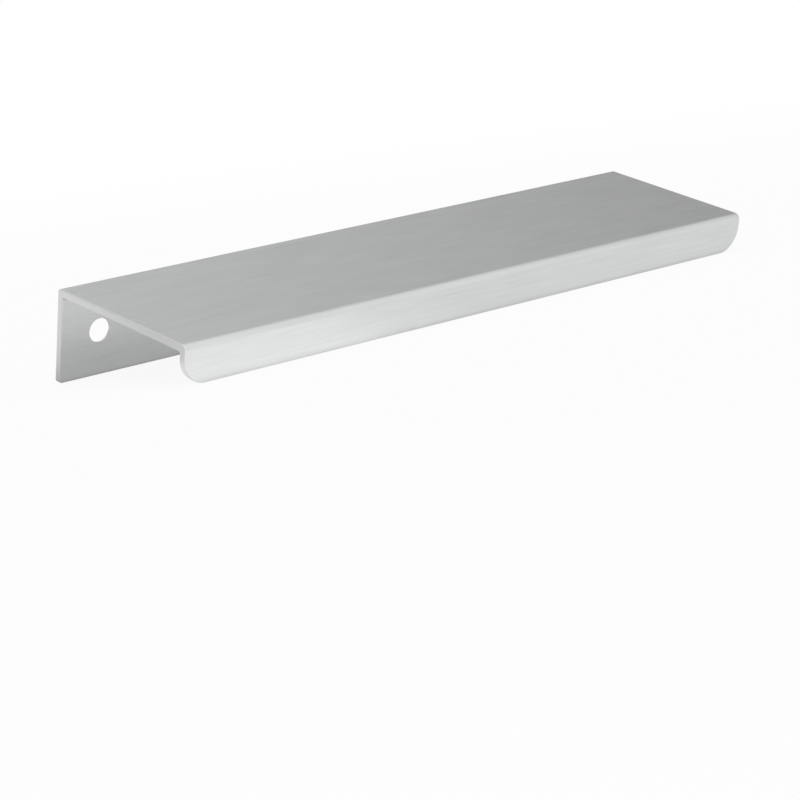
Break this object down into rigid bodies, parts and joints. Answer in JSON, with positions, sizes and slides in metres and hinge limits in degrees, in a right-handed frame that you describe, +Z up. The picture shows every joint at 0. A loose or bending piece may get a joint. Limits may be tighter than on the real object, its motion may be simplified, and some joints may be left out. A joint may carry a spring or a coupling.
{
  "type": "edge pull",
  "caption": "Channel-shaped edge pull for a drawer or door: flat plate, taller screw flange behind, short finger lip in front with rounded corners.",
  "frame": {"origin": "middle of the pull's box, on the floor that its flange and lip stand on", "axes": "+X along the pull, +Y from the lip back to the flange, +Z up. The plate leans 16.57 degrees towards the lip, as the pull stands by itself."},
  "size_m": [0.145, 0.0382, 0.017],
  "materials": {
    "brushed_aluminium": "satin, brushed along the length"
  },
  "bodies": {
    "root": {"edge_pull": "brushed_aluminium"}
  },
  "joints": []
}
